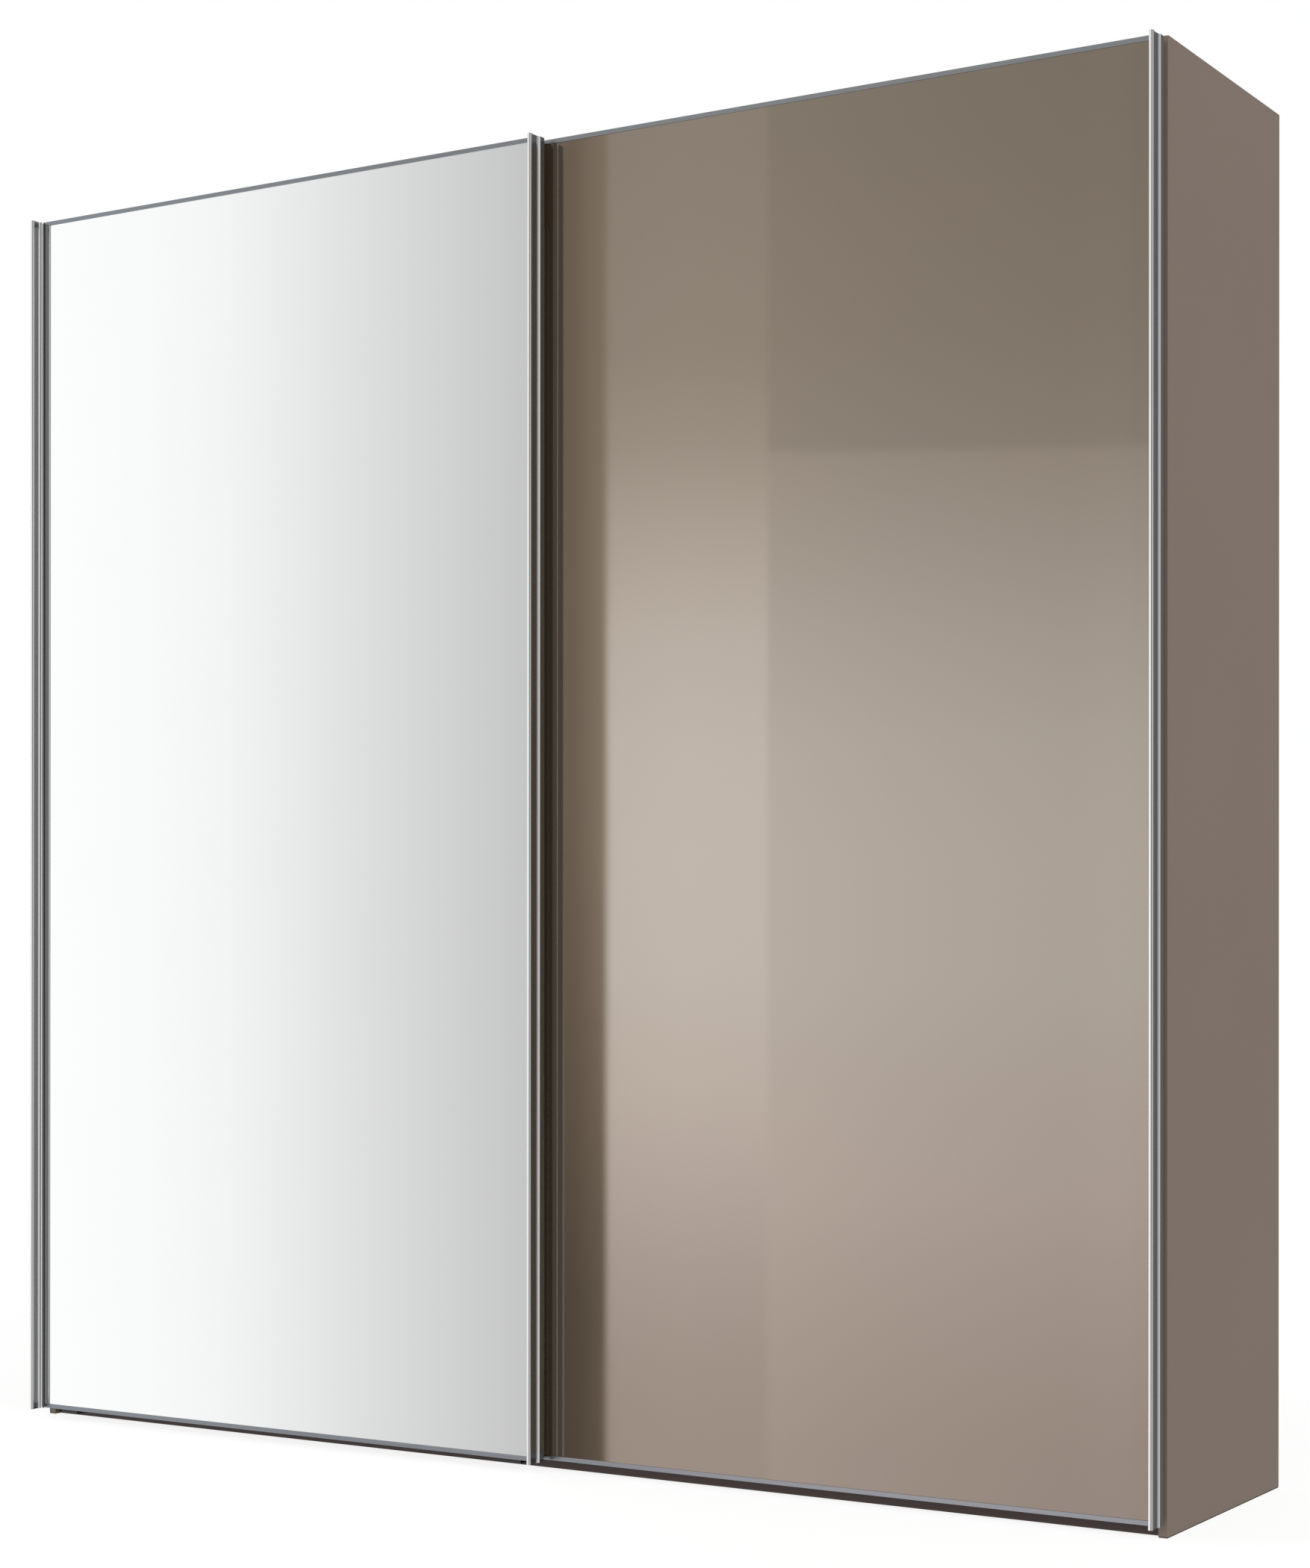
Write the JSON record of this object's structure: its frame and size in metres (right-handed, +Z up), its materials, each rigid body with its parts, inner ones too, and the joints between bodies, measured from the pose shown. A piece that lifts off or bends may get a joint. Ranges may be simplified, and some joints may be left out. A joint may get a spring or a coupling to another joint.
{
  "type": "sliding-door wardrobe",
  "caption": "Tall free-standing wardrobe with sliding doors hung in front of a panel carcass, one mirrored and one of lacquered glass, running on wheels in a top track.",
  "frame": {"origin": "on the floor, at the middle of the footprint including the doors and their handles", "axes": "+Z up, the doors face -Y, +X to the right as seen from the front"},
  "size_m": [2.4, 0.603, 2.4],
  "materials": {
    "taupe_board": "fine-textured taupe melamine",
    "inside_board": "light linen-look melamine",
    "dark_board": "dark brown melamine",
    "back_board": "thin coated fibreboard",
    "door_board": "coated fibreboard",
    "mirror": "silvered mirror",
    "lacquered_glass": "back-lacquered taupe glass, high gloss",
    "aluminium": "anodised and softly polished",
    "steel": "bright zinc-plated",
    "black_steel": "black powder coat",
    "nylon": "white nylon",
    "dark_plastic": "dark brown plastic",
    "brush_pile": "dense black brush pile",
    "beech": "plain beech"
  },
  "bodies": {
    "carcass": {"left_side_panel": "taupe_board", "right_side_panel": "taupe_board", "centre_partition": "inside_board", "top_panel": "inside_board", "bottom_panel": "inside_board", "left_back_panel": "back_board", "right_back_panel": "back_board", "front_plinth": "dark_board", "rear_plinth": "dark_board", "centre_support": "dark_board", "left_base_strip": "dark_plastic", "right_base_strip": "dark_plastic", "left_shelf": "inside_board", "right_shelf": "inside_board", "shelf_pins": "steel", "left_clothes_rail": "aluminium", "right_clothes_rail": "aluminium", "clothes_rail_sockets": "steel", "cam_locks": "steel", "cam_bolts": "steel", "dowels": "beech", "wall_brackets": "steel", "carcass_screws": "steel", "back_panel_screws": "steel", "running_track": "aluminium", "track_end_stops": "dark_plastic", "guide_track": "dark_plastic"},
    "front_door": {"front_door_mirror": "mirror", "front_door_left_handle": "aluminium", "front_door_board": "door_board", "front_door_right_handle": "aluminium", "front_door_top_rail": "aluminium", "front_door_bottom_rail": "aluminium", "front_door_hangers": "steel", "front_door_axles": "steel", "front_door_guides": "black_steel", "front_door_sliders": "nylon", "front_door_brush": "brush_pile", "front_door_screws": "steel"},
    "rear_door": {"rear_door_glass": "lacquered_glass", "rear_door_left_profile": "aluminium", "rear_door_board": "door_board", "rear_door_right_handle": "aluminium", "rear_door_top_rail": "aluminium", "rear_door_bottom_rail": "aluminium", "rear_door_hangers": "steel", "rear_door_axles": "steel", "rear_door_guides": "black_steel", "rear_door_sliders": "nylon", "rear_door_brush": "brush_pile", "rear_door_screws": "steel"},
    "front_door_left_wheel": {"front_door_left_wheel": "nylon"},
    "front_door_right_wheel": {"front_door_right_wheel": "nylon"},
    "rear_door_left_wheel": {"rear_door_left_wheel": "nylon"},
    "rear_door_right_wheel": {"rear_door_right_wheel": "nylon"},
    "front_left_foot": {"front_left_foot": "dark_plastic"},
    "front_right_foot": {"front_right_foot": "dark_plastic"},
    "rear_left_foot": {"rear_left_foot": "dark_plastic"},
    "rear_right_foot": {"rear_right_foot": "dark_plastic"}
  },
  "joints": [
    {"name": "front_door_slide", "type": "slide", "parent": "carcass", "child": "front_door", "axis": [1, 0, 0], "range_m": [0, 1.12]},
    {"name": "rear_door_slide", "type": "slide", "parent": "carcass", "child": "rear_door", "axis": [1, 0, 0], "range_m": [-1.12, 0]},
    {"name": "front_door_left_wheel_spin", "type": "hinge", "parent": "front_door", "child": "front_door_left_wheel", "pos_m": [-1.0305, -0.1705, 2.3648], "axis": [0, 1, 0], "continuous": true},
    {"name": "front_door_right_wheel_spin", "type": "hinge", "parent": "front_door", "child": "front_door_right_wheel", "pos_m": [-0.1215, -0.1705, 2.3648], "axis": [0, 1, 0], "continuous": true},
    {"name": "rear_door_left_wheel_spin", "type": "hinge", "parent": "rear_door", "child": "rear_door_left_wheel", "pos_m": [0.1365, -0.2005, 2.3648], "axis": [0, 1, 0], "continuous": true},
    {"name": "rear_door_right_wheel_spin", "type": "hinge", "parent": "rear_door", "child": "rear_door_right_wheel", "pos_m": [1.0455, -0.2005, 2.3648], "axis": [0, 1, 0], "continuous": true},
    {"name": "front_left_foot_turn", "type": "hinge", "parent": "carcass", "child": "front_left_foot", "pos_m": [-1.14, -0.1105, 0.03], "axis": [0, 0, 1], "continuous": true},
    {"name": "front_right_foot_turn", "type": "hinge", "parent": "carcass", "child": "front_right_foot", "pos_m": [1.14, -0.1105, 0.03], "axis": [0, 0, 1], "continuous": true},
    {"name": "rear_left_foot_turn", "type": "hinge", "parent": "carcass", "child": "rear_left_foot", "pos_m": [-1.14, 0.1995, 0.03], "axis": [0, 0, 1], "continuous": true},
    {"name": "rear_right_foot_turn", "type": "hinge", "parent": "carcass", "child": "rear_right_foot", "pos_m": [1.14, 0.1995, 0.03], "axis": [0, 0, 1], "continuous": true}
  ],
  "couplings": [
    {"joint": "front_door_left_wheel_spin", "follows": "front_door_slide", "rad_per_m": 90.909},
    {"joint": "front_door_right_wheel_spin", "follows": "front_door_slide", "rad_per_m": 90.909},
    {"joint": "rear_door_left_wheel_spin", "follows": "rear_door_slide", "rad_per_m": 90.909},
    {"joint": "rear_door_right_wheel_spin", "follows": "rear_door_slide", "rad_per_m": 90.909}
  ]
}
